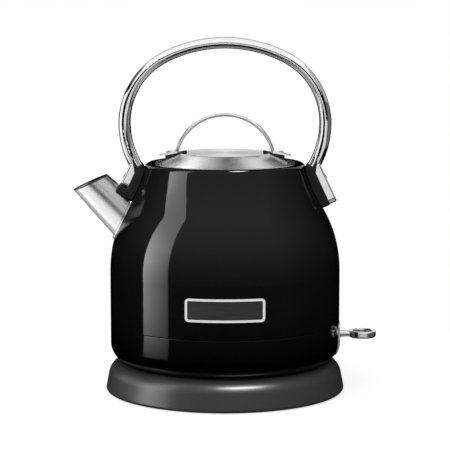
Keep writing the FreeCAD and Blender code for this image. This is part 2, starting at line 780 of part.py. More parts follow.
def switch_bezel():
    height = BEZEL_BELOW + BEZEL_ABOVE
    middle = lever_z + (BEZEL_ABOVE - BEZEL_BELOW) / 2
    wire = rounded_plate(BEZEL_W, height, BEZEL_CORNER_R, middle)
    wire.rotate(ORIGIN, UP, 90)
    shape = plate_on(casing_body(BEZEL_T).cut(casing_body(0)), wire, ALONG)
    return shape.cut(lever_slot(pivot_x, BODY_R + BEZEL_T))


# Shell
shoulder_c = at(BODY_R - SHOULDER_R, shoulder_z)
rim_c = at(neck_r - RIM_R, rim_z - RIM_R)
neck_c = polar(rim_c, RIM_R + neck_curve_r, NECK_LEAN_DEG)


def wall_curve(gap):
    """The shell's wall from the seam to the neck, grown outwards by a gap."""
    return [
        at(BODY_R + gap, seam_z),
        arc(shoulder_c, SHOULDER_R + gap, 0, FLARE_DEG),
        arc(neck_c, neck_curve_r - gap, 180 + FLARE_DEG, 180 + NECK_LEAN_DEG),
    ]


def wall_radius(z, gap):
    """Radius of that wall at a height."""
    if z < shoulder_z:
        return BODY_R + gap
    if z < shoulder_end_z:
        return shoulder_c.x + math.sqrt((SHOULDER_R + gap) ** 2 - (z - shoulder_z) ** 2)
    return neck_c.x - math.sqrt((neck_curve_r - gap) ** 2 - (z - neck_c.z) ** 2)


def body_solid(gap):
    """Everything inside the wall as a full solid, grown by a gap, up to the rim."""
    return turned(at(0, seam_z), *wall_curve(gap), at(neck_r + gap, rim_z), at(0, rim_z))


def body_shell():
    inside = wall_curve(-SHELL_T)
    inside = [step[::-1] if isinstance(step, tuple) else step for step in reversed(inside)]
    shape = turned(
        *wall_curve(0),
        arc(rim_c, RIM_R, NECK_LEAN_DEG, 180),
        arc(rim_c, RIM_R - SHELL_T, 180, NECK_LEAN_DEG),
        *inside,
    )
    return shape.cut(in_spout(spout_cone(SPOUT_T)))


def lid_seat():
    """Ring under the rolled rim, with the ledge that carries the lid."""
    wall = tube(mouth_r + SHELL_T, mouth_r, ledge_z - SHELL_T, rim_c.z - FIT)
    return wall.fuse(tube(mouth_r, mouth_r - LEDGE_W, ledge_z - SHELL_T, ledge_z))


# Spout: modelled on its own axis, with the shell at zero, then laid on the body
spout_root_z = seam_z + SPOUT_RISE
spout_root = at(-wall_radius(spout_root_z, 0), spout_root_z)
spout_taper = (SPOUT_ROOT_R - SPOUT_MOUTH_R) / SPOUT_L
spout_in = -2 * SPOUT_ROOT_R
spout_out = SPOUT_L + SPOUT_ROOT_R


def in_spout(shape):
    shape.rotate(ORIGIN, ACROSS, SPOUT_PITCH_DEG - 90)
    shape.translate(spout_root)
    return shape


def spout_radius(along, wall=0):
    return SPOUT_ROOT_R - wall - spout_taper * along


def spout_cone(wall):
    """The spout's cone, thinner by a wall, running well into the body."""
    start, end = spout_radius(spout_in, wall), spout_radius(spout_out, wall)
    return Part.makeCone(start, end, spout_out - spout_in, at(0, spout_in))


def spout_mouth():
    """Everything beyond the mouth."""
    beyond = block(-LONG / 2, LONG / 2, LONG, 0, LONG)
    beyond.rotate(ORIGIN, ACROSS, MOUTH_CUT_DEG)
    beyond.translate(at(0, SPOUT_L))
    return beyond


def shell_depth(side, gap):
    """Where the wall crosses the spout's lower or upper side, along the spout's axis."""
    low, high = spout_in, SPOUT_ROOT_R
    while high - low > 1e-4:
        middle = (low + high) / 2
        x = spout_root.x + side * sine(SPOUT_PITCH_DEG) - middle * cosine(SPOUT_PITCH_DEG)
        z = spout_root.z + side * cosine(SPOUT_PITCH_DEG) + middle * sine(SPOUT_PITCH_DEG)
        if -x > wall_radius(z, gap):
            high = middle
        else:
            low = middle
    return low


def spout():
    shape = in_spout(spout_cone(0).cut(spout_mouth()))
    flare = in_spout(spout_cone(-FLANGE_W)).common(body_solid(FIT + FLANGE_T))
    shape = shape.fuse(flare)
    return shape.cut([in_spout(spout_cone(SPOUT_T)), body_solid(FIT)])


filter_r = spout_radius(FILTER_IN, SPOUT_T) - RUN_GAP
filter_flange_r = filter_r + FILTER_FLANGE_W
filter_end = shell_depth(-filter_flange_r, -SHELL_T) - RUN_GAP
mesh_r = filter_r - FILTER_WALL


def filter_frame():
    shape = tube(filter_r, mesh_r, filter_end - FILTER_FLANGE_T, FILTER_IN)
    flange = tube(filter_flange_r, mesh_r, filter_end - FILTER_FLANGE_T, filter_end)
    return in_spout(shape.fuse(flange))


def filter_mesh():
    """A round plate with a grid of square holes, at the collar's inner end."""
    steps = int(mesh_r / MESH_PITCH)
    places = [step * MESH_PITCH for step in range(-steps, steps + 1)]
    half = MESH_HOLE / 2
    wires = [Part.Wire([Part.makeCircle(mesh_r)])]
    for x in places:
        for y in places:
            if math.hypot(abs(x) + half, abs(y) + half) < mesh_r - half:
                hole = Part.makePlane(MESH_HOLE, MESH_HOLE, Vector(x - half, y - half, 0))
                wires.append(hole.OuterWire)
    plate = Part.Face(wires, "Part::FaceMakerBullseye").extrude(Vector(0, 0, MESH_T))
    plate.translate(at(0, filter_end - FILTER_FLANGE_T))
    return in_spout(plate)


# Badge
def badge_skin(thickness):
    return tube(BODY_R + thickness, BODY_R, seam_z, shoulder_z)


def badge_frame():
    outer = rounded_plate(BADGE_W, BADGE_H, BADGE_CORNER_R, badge_z)
    shape = plate_on(badge_skin(BADGE_FRAME_T), outer, FRONT)
    return shape.cut(Part.Face(badge_window()).extrude(FRONT * LONG))


def badge_window():
    corner = max(BADGE_CORNER_R - BADGE_BAND, BADGE_BAND / 4)
    return rounded_plate(BADGE_W - 2 * BADGE_BAND, BADGE_H - 2 * BADGE_BAND, corner, badge_z)


def badge_plate():
    return plate_on(badge_skin(BADGE_PLATE_T), badge_window(), FRONT)


# Loop handle: a tab's own frame has X out of its inner face and Z up along it
tab_c = at(neck_r + TAB_STAND, rim_z)
tab_out = at(cosine(TAB_LEAN_DEG), sine(TAB_LEAN_DEG))
tab_down = at(sine(TAB_LEAN_DEG), -cosine(TAB_LEAN_DEG))
handle_half_w = neck_r + HANDLE_REACH
handle_wide_z = rim_z + HANDLE_WIDE_RISE
handle_top_z = rim_z + HANDLE_TOP_RISE
handle_end = tab_c + tab_down * JOIN_DOWN + tab_out * JOIN_OUT
handle_screw_x = -HANDLE_BOSS_TOP - HANDLE_BITE
in_body = -neck_r / 2


def tab_point(out, up):
    return tab_c + tab_out * out - tab_down * up


def on_tab(shape):
    shape.rotate(ORIGIN, ACROSS, -TAB_LEAN_DEG)
    shape.translate(tab_c)
    return shape


def loop_path():
    """Half of the loop's middle line: from the tab to the widest place and over to the top."""
    inset = handle_half_w - handle_end.x
    drop = handle_wide_z - handle_end.z
    low_r = (inset ** 2 + drop ** 2) / (2 * inset)
    low_c = at(handle_half_w - low_r, handle_wide_z)
    low_deg = math.degrees(math.asin(drop / low_r))
    rise = handle_top_z - handle_wide_z
    side_r = rise * HANDLE_SIDE_SHARE
    side_c = at(handle_half_w - side_r, handle_wide_z)
    top_r = (side_c.x ** 2 + rise ** 2 - side_r ** 2) / (2 * (rise - side_r))
    top_c = at(0, handle_top_z - top_r)
    turn_deg = math.degrees(math.atan2(handle_wide_z - top_c.z, side_c.x))
    return low_deg, [
        arc(low_c, low_r, -low_deg, 0),
        arc(side_c, side_r, 0, turn_deg),
        arc(top_c, top_r, turn_deg, 90),
    ]


def loop_section(lean):
    """Rounded section across the loop at the end of its path."""
    x = HANDLE_T / 2 - HANDLE_EDGE_R
    z = HANDLE_W / 2 - HANDLE_EDGE_R
    wire = outline(
        arc(at(x, z), HANDLE_EDGE_R, 0, 90),
        arc(at(-x, z), HANDLE_EDGE_R, 90, 180),
        arc(at(-x, -z), HANDLE_EDGE_R, 180, 270),
        arc(at(x, -z), HANDLE_EDGE_R, 270, 360),
    )
    wire.rotate(ORIGIN, ALONG, 90)
    wire.rotate(ORIGIN, ACROSS, lean)
    wire.translate(handle_end)
    return wire


def half_loop():
    lean, arcs = loop_path()
    path = Part.Wire([Part.Arc(*points).toShape() for points in arcs])
    return path.makePipeShell([loop_section(lean)], True, False)


def tab(end):
    half = TAB_W / 2 - TAB_CORNER_R
    shape = block(0, TAB_T, TAB_W, -end + TAB_CORNER_R, -TAB_START)
    shape = shape.fuse(block(0, TAB_T, 2 * half, -end, -TAB_START))
    for y in (-half, half):
        corner = rod(TAB_CORNER_R, 0, TAB_T, -end + TAB_CORNER_R)
        corner.translate(ACROSS * y)
        shape = shape.fuse(corner)
    shape = shape.removeSplitter()
    boxes = [(edge, edge.BoundBox) for edge in shape.Edges]
    outer = [edge for edge, box in boxes if box.XMin > TAB_T - FIT and box.ZMin < -TAB_START - FIT]
    shape = shape.makeFillet(TAB_EDGE_R, outer)
    hole = rod(HANDLE_SCREW_R + FIT, 0, TAB_T, -HANDLE_SCREW_DOWN)
    sink = rod(HANDLE_HEAD_R + FIT, TAB_T - HANDLE_HEAD_H, TAB_T, -HANDLE_SCREW_DOWN)
    return on_tab(shape.cut([hole, sink]))


def upright(width, *points):
    """A prism with an outline in the side view, centred on the plane y = 0."""
    shape = Part.Face(outline(*points)).extrude(ACROSS * width)
    shape.translate(ACROSS * (-width / 2))
    return shape


def notch_points():
    """Foot, tip and inner end of the notch that takes the bracket's tongue."""
    lean = loop_path()[0]
    tip = handle_end + at(NOTCH_OUT, NOTCH_UP)
    return tab_point(0, -NOTCH_DOWN), tip, polar(handle_end, NOTCH_IN, 180 - lean)


def loop_handle():
    right = half_loop()
    left = mirrored(right)
    shape = right.fuse([left, tab(LEVER_TAB_END), mirrored(tab(SPOUT_TAB_END))]).removeSplitter()
    foot, tip, inner = notch_points()
    notch = upright(LONG, foot, tip, inner, tab_point(in_body, -NOTCH_DOWN))
    return shape.cut([notch, mirrored(notch)])


def bracket(*low_end):
    """Black wedge between the shell and a tab, with a tongue in the loop's notch."""
    loop_inside = polar(handle_end, HANDLE_T / 2, 180 - loop_path()[0])
    at_neck = at(neck_r, rim_z - BRACKET_DROP)
    middle = at(in_body + neck_r, rim_z - BRACKET_DROP)
    shape = upright(BRACKET_W, *low_end, *notch_points(), loop_inside, at_neck, middle)
    boss_hole = rod(HANDLE_BOSS_R + FIT, in_body, -HANDLE_BOSS_TOP, -HANDLE_SCREW_DOWN)
    screw_hole = rod(HANDLE_SCREW_R + FIT, in_body, 0, -HANDLE_SCREW_DOWN)
    return shape.cut([on_tab(boss_hole), on_tab(screw_hole), body_solid(FIT)])


def lever_bracket(handle):
    return bracket(tab_point(in_body, -LEVER_TAB_END), tab_point(0, -LEVER_TAB_END)).cut(handle)


def spout_bracket(handle):
    flare = in_spout(spout_cone(-FLANGE_W - FIT)).common(body_solid(2 * FIT + FLANGE_T))
    foot_z = -SPOUT_TAB_END - SPOUT_FOOT_T
    shape = mirrored(bracket(
        tab_point(in_body, foot_z),
        tab_point(SPOUT_FOOT_REACH, foot_z),
        tab_point(SPOUT_FOOT_REACH, -SPOUT_TAB_END),
        tab_point(0, -SPOUT_TAB_END),
    ))
    return shape.cut([handle, in_spout(spout_cone(-FIT)), flare])


def handle_boss():
    """Threaded boss that is welded to the shell behind a tab."""
    shape = rod(HANDLE_BOSS_R, in_body, -HANDLE_BOSS_TOP, -HANDLE_SCREW_DOWN)
    thread = rod(HANDLE_SCREW_R, handle_screw_x - FIT, -HANDLE_BOSS_TOP, -HANDLE_SCREW_DOWN)
    return on_tab(shape.cut(thread)).cut(body_solid(0))


def handle_bosses():
    return Part.makeCompound([handle_boss(), mirrored(handle_boss())])


def handle_screw():
    neck = TAB_T - HANDLE_HEAD_H
    shank = rod(HANDLE_SCREW_R, handle_screw_x, neck, -HANDLE_SCREW_DOWN)
    head = rod(HANDLE_HEAD_R, neck, TAB_T, -HANDLE_SCREW_DOWN)
    return on_tab(shank.fuse(head))


def handle_screws():
    return Part.makeCompound([handle_screw(), mirrored(handle_screw())])


# Lid: its handle's tabs lie in a frame with X out along the slope and Z off it
lid_bend_r = math.sqrt(lid_arch_r ** 2 - LID_ARCH_DROP ** 2)
lid_arch_z = lid_top_z - LID_ARCH_DROP
lid_lean = math.degrees(math.atan2(LID_RISE, lid_r - lid_top_r))


def on_lid(shape):
    shape.rotate(ORIGIN, ACROSS, LID_TAB_DEG)
    shape.translate(at(lid_bend_r, lid_top_z))
    return shape


def lid_solid():
    """The lid's outside as a full solid."""
    shape = turned(
        at(0, lid_rim_z - LID_SKIRT_H),
        at(lid_r, lid_rim_z - LID_SKIRT_H),
        at(lid_r, lid_rim_z),
        at(lid_top_r, lid_top_z),
        at(0, lid_top_z),
    )
    circles = [edge for edge in shape.Edges if edge.isClosed() and edge.BoundBox.ZMin > lid_rim_z - FIT]
    return shape.makeFillet(LID_EDGE_R, circles)


def lid_cover():
    drop = LID_T / cosine(lid_lean)
    under = turned(
        at(0, lid_rim_z - LID_SKIRT_H),
        at(lid_r - LID_T, lid_rim_z - LID_SKIRT_H),
        at(lid_r - LID_T, lid_rim_z - drop + LID_T * tangent(lid_lean)),
        at(lid_top_r - LID_T * tangent(lid_lean / 2), lid_top_z - LID_T),
        at(0, lid_top_z - LID_T),
    )
    return lid_solid().cut(under).cut([rivet(FIT), mirrored(rivet(FIT))])


def lid_plug():
    """Cup under the lid, with a flange that sits on the ledge."""
    top = lid_rim_z - LID_T - FIT
    return turned(
        at(0, lid_plug_z),
        at(lid_flange_r, lid_plug_z),
        at(lid_flange_r, lid_plug_z + PLUG_FLOOR_T),
        at(lid_plug_r, lid_plug_z + PLUG_FLOOR_T),
        at(lid_plug_r, top),
        at(lid_plug_r - PLUG_WALL, top),
        at(lid_plug_r - PLUG_WALL, lid_plug_z + PLUG_FLOOR_T),
        at(0, lid_plug_z + PLUG_FLOOR_T),
    )


def lid_seal():
    low = lid_plug_z + PLUG_FLOOR_T
    return tube(mouth_r - RUN_GAP, lid_plug_r, low, low + LID_SEAL_H)


def lid_tab():
    return on_lid(block(-STRIP_T / 2, LID_TAB_L, STRIP_W, 0, LID_TAB_T))


def rivet(gap):
    """Domed rivet through tab, pad and lid, with its tail against the lid's underside."""
    out_r = lid_bend_r + RIVET_OUT * cosine(LID_TAB_DEG)
    tab_z = lid_top_z - RIVET_OUT * sine(LID_TAB_DEG)
    under_z = lid_top_z - (out_r - lid_top_r) * tangent(lid_lean)
    grip = (tab_z - under_z) * cosine(LID_TAB_DEG) + 2 * LID_T
    shank = disc(RIVET_R + gap, -grip - RIVET_TAIL_H, LID_TAB_T, RIVET_OUT)
    dome_r = (RIVET_HEAD_R ** 2 + RIVET_HEAD_H ** 2) / (2 * RIVET_HEAD_H)
    dome = Part.makeSphere(dome_r, at(RIVET_OUT, LID_TAB_T + RIVET_HEAD_H - dome_r))
    dome = dome.common(disc(RIVET_HEAD_R, LID_TAB_T, LID_TAB_T + RIVET_HEAD_H, RIVET_OUT))
    tail = disc(RIVET_HEAD_R, -grip - RIVET_TAIL_H, -grip, RIVET_OUT)
    return on_lid(shank.fuse([dome, tail]))


def lid_handle():
    arch = rounded_ring(lid_arch_r + STRIP_T / 2, lid_arch_r - STRIP_T / 2, STRIP_W, STRIP_EDGE_R)
    arch.rotate(ORIGIN, ALONG, 90)
    arch.translate(at(0, lid_arch_z))
    below = on_lid(block(-lid_bend_r, LONG, LONG, -LONG, 0))
    arch = arch.cut([below, mirrored(below)])
    shape = arch.fuse([lid_tab(), mirrored(lid_tab())]).removeSplitter()
    return shape.cut([rivet(0), mirrored(rivet(0))])


def lid_pads():
    """Wedges that level the sloping lid under the handle's tabs."""
    pad = on_lid(block(-LID_PAD_IN, LID_PAD_OUT, STRIP_W, -LID_RISE, 0))
    pad = pad.cut([lid_solid(), rivet(0)])
    return Part.makeCompound([pad, mirrored(pad)])


def lid_rivets():
    return Part.makeCompound([rivet(0), mirrored(rivet(0))])


def all_parts():
    handle = loop_handle()
    return {
        "base_cover": base_cover(),
        "base_plate": base_plate(),
        "base_feet": base_feet(),
        "base_screws": base_screws(),
        "base_socket": base_socket(),
        "socket_contacts": socket_contacts(),
        "cord_gland": cord_gland(),
        "connector_plug": connector_plug(),
        "connector_pins": connector_pins(),
        "lower_casing": lower_casing(),
        "casing_screws": casing_screws(),
        "heater_plate": heater_plate(),
        "floor_seal": floor_seal(),
        "heater_studs": heater_studs(),
        "heat_spreader": heat_spreader(),
        "heating_element": heating_element(),
        "element_leads": element_leads(),
        "control_module": control_module(),
        "bimetal_discs": bimetal_discs(),
        "steam_tube": steam_tube(),
        "tube_grommet": tube_grommet(),
        "switch_housing": switch_housing(),
        "steam_bimetal": steam_bimetal(),
        "lever_pin": lever_pin(),
        "switch_lever": switch_lever(),
        "contact_plunger": contact_plunger(),
        "contact_bridge": contact_bridge(),
        "fixed_contacts": fixed_contacts(),
        "switch_bezel": switch_bezel(),
        "body_shell": body_shell(),
        "lid_seat": lid_seat(),
        "spout": spout(),
        "filter_frame": filter_frame(),
        "filter_mesh": filter_mesh(),
        "badge_frame": badge_frame(),
        "badge_plate": badge_plate(),
        "loop_handle": handle,
        "lever_bracket": lever_bracket(handle),
        "spout_bracket": spout_bracket(handle),
        "handle_bosses": handle_bosses(),
        "handle_screws": handle_screws(),
        "lid_cover": lid_cover(),
        "lid_plug": lid_plug(),
        "lid_seal": lid_seal(),
        "lid_handle": lid_handle(),
        "lid_pads": lid_pads(),
        "lid_rivets": lid_rivets(),
    }


os.makedirs("parts", exist_ok=True)
for name, shape in all_parts().items():
    shape.exportStep("parts/" + name + ".step")
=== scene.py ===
"""The looks of the electric kettle: materials, small modelled details, studio and camera, in metres."""

import math

import bmesh
import bpy
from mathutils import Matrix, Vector


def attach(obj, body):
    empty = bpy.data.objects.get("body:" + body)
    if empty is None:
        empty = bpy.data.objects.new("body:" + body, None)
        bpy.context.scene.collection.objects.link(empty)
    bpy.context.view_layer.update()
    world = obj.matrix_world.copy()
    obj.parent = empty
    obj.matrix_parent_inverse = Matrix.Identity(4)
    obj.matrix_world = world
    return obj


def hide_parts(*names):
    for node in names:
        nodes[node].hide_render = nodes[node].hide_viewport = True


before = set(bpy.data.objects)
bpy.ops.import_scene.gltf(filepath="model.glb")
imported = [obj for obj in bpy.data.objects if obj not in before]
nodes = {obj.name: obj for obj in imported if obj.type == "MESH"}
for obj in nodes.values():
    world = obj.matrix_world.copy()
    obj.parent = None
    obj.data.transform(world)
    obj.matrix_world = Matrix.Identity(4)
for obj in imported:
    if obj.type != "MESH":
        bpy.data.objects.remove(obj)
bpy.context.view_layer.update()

# Camera
CAMERA_PLACE = (0.0, -1.400, 0.306)
CAMERA_TILT_DEG = 82.547
CAMERA_LENS = 152.38
SENSOR_WIDTH = 36.0

# Studio
WHITE = (1.0, 1.0, 1.0, 1.0)
FLOOR_R = 0.30
FLOOR_STEPS = 128
FLOOR_GREY = 0.85
FLOOR_ROUGHNESS = 0.9
FLOOR_GLOW = 0.58        # what the camera alone sees, so that the floor reads as white
WALL_R = 3.0
WALL_SPLITS = 5          # how often the wall's facets are divided
FILL_LEVEL = 0.55
LAMP_DISTANCE = 1.1
LAMP_TARGET = Vector((0.0, 0.0, 0.12))

# The tall window left of the kettle
STRIP_DISTANCE = 1.5
STRIP_TURN_DEG = -71.5
STRIP_HALF_DEG = 15.0
STRIP_LOW = -0.27
STRIP_HIGH = 2.2
STRIP_START = -0.3       # height where the window's shades begin
STRIP_LEVEL = 10.0

# Grain and wear of every finish
GRAIN_SPAN = (0.3, 0.7)  # noise at which the dark and the light shade are reached
WEAR_SCALE = 24.0        # patches of wear per metre
WEAR_SPAN = (0.6, 1.4)   # sum of grain and wear over which the gloss changes

# The spout's own direction, outwards from the body
SPOUT_AXIS = Vector((-0.712026, 0.0, 0.702153))
MOUTH_CLIMB_DEG = 65.6   # direction that the mouth faces
MOUTH_REACH = 0.1824     # the mouth's plane, from the origin
# Painted shade round the spout's mouth: the band's width and its darker grey stand in for the dark
# reflection on the rim
LIP_SHADE_WIDTH = 0.0014
LIP_SHADE_GREY = (0.10, 0.10, 0.102, 1.0)

# Handle screws with a six-sided socket
SCREW_PLACE = Vector((0.07376, 0.0, 0.16054))  # the right head, in the tab's outer face
TAB_LEAN_DEG = 25.0      # the handle's tabs face up by this
SCREW_HEAD_R = 0.0034
SCREW_HEAD_H = 0.0016
SCREW_SHANK_R = 0.0020
SCREW_LENGTH = 0.0111
SCREW_DOME = 0.0008      # the head's crown above its edge
SCREW_EDGE = 0.00016     # bevel round the head
SCREW_TIP = 0.0006       # bevel at the shank's end
CROWN_SHARES = (0.85, 0.7, 0.55)  # of the head's radius, where the crown has rings
SOCKET_HALF = 0.0013     # middle of the socket to one of its flats
SOCKET_DEPTH = 0.0013    # below the crown
SOCKET_OUTLINE = (       # reach and height of the socket's rings: two of its rim, foot of its walls, middle
    (SOCKET_HALF * 1.12, SCREW_DOME * 0.84),
    (SOCKET_HALF, SCREW_DOME * 0.78),
    (SOCKET_HALF, SCREW_DOME - SOCKET_DEPTH),
    (SOCKET_HALF * 0.3, SCREW_DOME - SOCKET_DEPTH * 1.2),
)
SCREW_STEPS = 48
SCREW_CREASE_DEG = 30.0

# The filter's woven wire
WEAVE_PLACE = Vector((-0.06844, 0.0, 0.12387))
WEAVE_R = 0.01276
WEAVE_PITCH = 0.0013
WIRE_R = 0.00016
WIRE_SIDES = 6
WIRE_STEPS = 6           # points along a wire from one crossing to the next
WIRE_CREASE_DEG = 70.0

# Rounded edges of CAD nodes, in metres
EDGES = {
    "lower_casing": 0.0004,
    "lever_bracket": 0.0006,
    "spout_bracket": 0.0006,
    "lid_pads": 0.0003,
    "lid_handle": 0.0003,
}
EDGE_STEPS = 3
EDGE_ANGLE_DEG = 35.0
EDGE_EVENNESS = 50
WELD_REACH = 0.000002


# Node trees

def add(tree, kind, inputs=None, **settings):
    """Adds a node, sets it up and fills its inputs with values or with other nodes' outputs."""
    node = tree.nodes.new(kind)
    for name, value in settings.items():
        setattr(node, name, value)
    for name, value in (inputs or {}).items():
        if isinstance(value, bpy.types.NodeSocket):
            tree.links.new(value, node.inputs[name])
        else:
            node.inputs[name].default_value = value
    return node


def maths(tree, operation, first, second):
    """The value that an operation makes of two values."""
    return add(tree, "ShaderNodeMath", {0: first, 1: second}, operation=operation).outputs["Value"]


def spread(tree, value, given=(0.0, 1.0), wanted=(0.0, 1.0)):
    """Takes a value from a given span to a wanted one and holds it there past the ends."""
    spans = {"From Min": given[0], "From Max": given[1], "To Min": wanted[0], "To Max": wanted[1]}
    return add(tree, "ShaderNodeMapRange", {"Value": value, **spans}).outputs["Result"]


def plain_way(tree):
    """Places on the object, as they are."""
    return add(tree, "ShaderNodeTexCoord").outputs["Object"]


def turned_way(tree):
    """Distance from the upright axis, turn round it and height: lines that run round the lid."""
    split = add(tree, "ShaderNodeSeparateXYZ", {"Vector": plain_way(tree)})
    flat = add(tree, "ShaderNodeCombineXYZ", {"X": split.outputs["X"], "Y": split.outputs["Y"]})
    reach = add(tree, "ShaderNodeVectorMath", {0: flat.outputs["Vector"]}, operation="LENGTH")
    turn = maths(tree, "ARCTAN2", split.outputs["Y"], split.outputs["X"])
    parts = {"X": reach.outputs["Value"], "Y": turn, "Z": split.outputs["Z"]}
    return add(tree, "ShaderNodeCombineXYZ", parts).outputs["Vector"]


def spout_way(tree):
    """Places turned so that Z runs along the spout."""
    lean = math.atan2(-SPOUT_AXIS.x, SPOUT_AXIS.z)
    turn = add(tree, "ShaderNodeMapping", {"Vector": plain_way(tree), "Rotation": (0.0, lean, 0.0)})
    return turn.outputs["Vector"]


def make_material(name, dark, light, rough, grain, bump, metallic=0.0, way=plain_way, anisotropic=0.0):
    """A procedural finish: fine grain in colour and relief, broad wear in the gloss."""
    material = bpy.data.materials.new(name)
    material.use_nodes = True
    tree = material.node_tree
    shader = tree.nodes["Principled BSDF"]
    stretched = add(tree, "ShaderNodeMapping", {"Vector": way(tree), "Scale": grain})
    fine_grain = {"Vector": stretched.outputs["Vector"], "Scale": 1.0, "Detail": 3.0}
    fine = add(tree, "ShaderNodeTexNoise", fine_grain).outputs["Fac"]
    broad_wear = {"Vector": plain_way(tree), "Scale": WEAR_SCALE, "Detail": 2.0}
    broad = add(tree, "ShaderNodeTexNoise", broad_wear).outputs["Fac"]
    colour = add(tree, "ShaderNodeValToRGB", {"Fac": fine})
    for element, place, shade in zip(colour.color_ramp.elements, GRAIN_SPAN, (dark, light)):
        element.position = place
        element.color = (*shade, 1.0)
    gloss = spread(tree, maths(tree, "ADD", fine, broad), WEAR_SPAN, rough)
    relief = add(tree, "ShaderNodeBump", {"Height": fine, "Strength": bump[0], "Distance": bump[1]})
    tree.links.new(colour.outputs["Color"], shader.inputs["Base Color"])
    tree.links.new(gloss, shader.inputs["Roughness"])
    tree.links.new(relief.outputs["Normal"], shader.inputs["Normal"])
    shader.inputs["Metallic"].default_value = metallic
    shader.inputs["Anisotropic"].default_value = anisotropic
    return material


def lay_tangent(material, axis):
    """Runs the stretched highlights round an axis."""
    tree = material.node_tree
    round_axis = add(tree, "ShaderNodeTangent", direction_type="RADIAL", axis=axis)
    tree.links.new(round_axis.outputs["Tangent"], tree.nodes["Principled BSDF"].inputs["Tangent"])


enamel = make_material(
    "black enamel", (0.0012, 0.0012, 0.0013), (0.0022, 0.0022, 0.0023), (0.03, 0.07),
    (260.0, 260.0, 260.0), (0.02, 0.0002),
)
casing_gloss = make_material(
    "black casing", (0.0008, 0.0008, 0.0009), (0.0016, 0.0016, 0.0017), (0.04, 0.08),
    (420.0, 420.0, 420.0), (0.02, 0.0002),
)
base_plastic = make_material(
    "dark grey moulding", (0.044, 0.044, 0.045), (0.060, 0.060, 0.061), (0.27, 0.36),
    (1600.0, 1600.0, 1600.0), (0.12, 0.0002),
)
black_plastic = make_material(
    "black moulding", (0.012, 0.012, 0.0125), (0.024, 0.024, 0.025), (0.32, 0.48),
    (1500.0, 1500.0, 1500.0), (0.12, 0.0002),
)
chrome = make_material(
    "chrome", (0.72, 0.72, 0.73), (0.80, 0.80, 0.81), (0.04, 0.11),
    (300.0, 1200.0, 300.0), (0.02, 0.0001), metallic=1.0,
)
lever_steel = make_material(
    "satin steel", (0.62, 0.62, 0.625), (0.74, 0.74, 0.745), (0.16, 0.24),
    (300.0, 1200.0, 1200.0), (0.04, 0.0001), metallic=1.0,
)
lid_steel = make_material(
    "turned steel", (0.60, 0.60, 0.605), (0.67, 0.67, 0.675), (0.18, 0.30),
    (3000.0, 2.0, 40.0), (0.015, 0.0001), metallic=1.0, way=turned_way, anisotropic=0.55,
)
lay_tangent(lid_steel, "Z")
spout_steel = make_material(
    "brushed steel", (0.59, 0.59, 0.595), (0.66, 0.66, 0.665), (0.24, 0.36),
    (60.0, 1800.0, 1800.0), (0.012, 0.0001), metallic=1.0, way=spout_way,
)


def paint_lip_shade(material):
    """Painted shade: a darker grey band round the spout's mouth, in place of the dark reflection on its
    rim.
    """
    tree = material.node_tree
    shader = tree.nodes["Principled BSDF"]
    climb = math.radians(MOUTH_CLIMB_DEG)
    facing = Vector((-math.cos(climb), 0.0, math.sin(climb)))
    reach = add(tree, "ShaderNodeVectorMath", {0: plain_way(tree), 1: facing}, operation="DOT_PRODUCT")
    mouth = spread(tree, reach.outputs["Value"], (MOUTH_REACH - LIP_SHADE_WIDTH, MOUTH_REACH - LIP_SHADE_WIDTH / 2))
    steel = shader.inputs["Base Color"].links[0].from_socket
    shades = {"Factor": mouth, "A": steel, "B": LIP_SHADE_GREY}
    shaded_lip = add(tree, "ShaderNodeMix", shades, data_type="RGBA")
    tree.links.new(shaded_lip.outputs["Result"], shader.inputs["Base Color"])


paint_lip_shade(spout_steel)
plain_steel = make_material(
    "plain steel", (0.50, 0.50, 0.505), (0.66, 0.66, 0.665), (0.26, 0.42),
    (150.0, 1500.0, 1500.0), (0.08, 0.0001), metallic=1.0,
)
badge_grey = make_material(
    "badge grey", (0.055, 0.055, 0.056), (0.09, 0.09, 0.092), (0.30, 0.42),
    (60.0, 60.0, 4000.0), (0.08, 0.0001), metallic=0.4,
)
rubber = make_material(
    "black rubber", (0.018, 0.018, 0.018), (0.034, 0.034, 0.034), (0.7, 0.9),
    (900.0, 900.0, 900.0), (0.2, 0.0002),
)
silicone = make_material(
    "pale silicone", (0.44, 0.44, 0.42), (0.56, 0.56, 0.54), (0.5, 0.7),
    (700.0, 700.0, 700.0), (0.1, 0.0002),
)
brass = make_material(
    "brass", (0.62, 0.46, 0.21), (0.78, 0.60, 0.31), (0.24, 0.42),
    (1200.0, 1200.0, 200.0), (0.08, 0.0001), metallic=1.0,
)
aluminium = make_material(
    "aluminium", (0.66, 0.66, 0.67), (0.80, 0.80, 0.81), (0.3, 0.5),
    (900.0, 900.0, 900.0), (0.08, 0.0001), metallic=1.0,
)
pale_plastic = make_material(
    "pale moulding", (0.74, 0.74, 0.72), (0.84, 0.84, 0.82), (0.35, 0.5),
    (1200.0, 1200.0, 1200.0), (0.08, 0.0002),
)

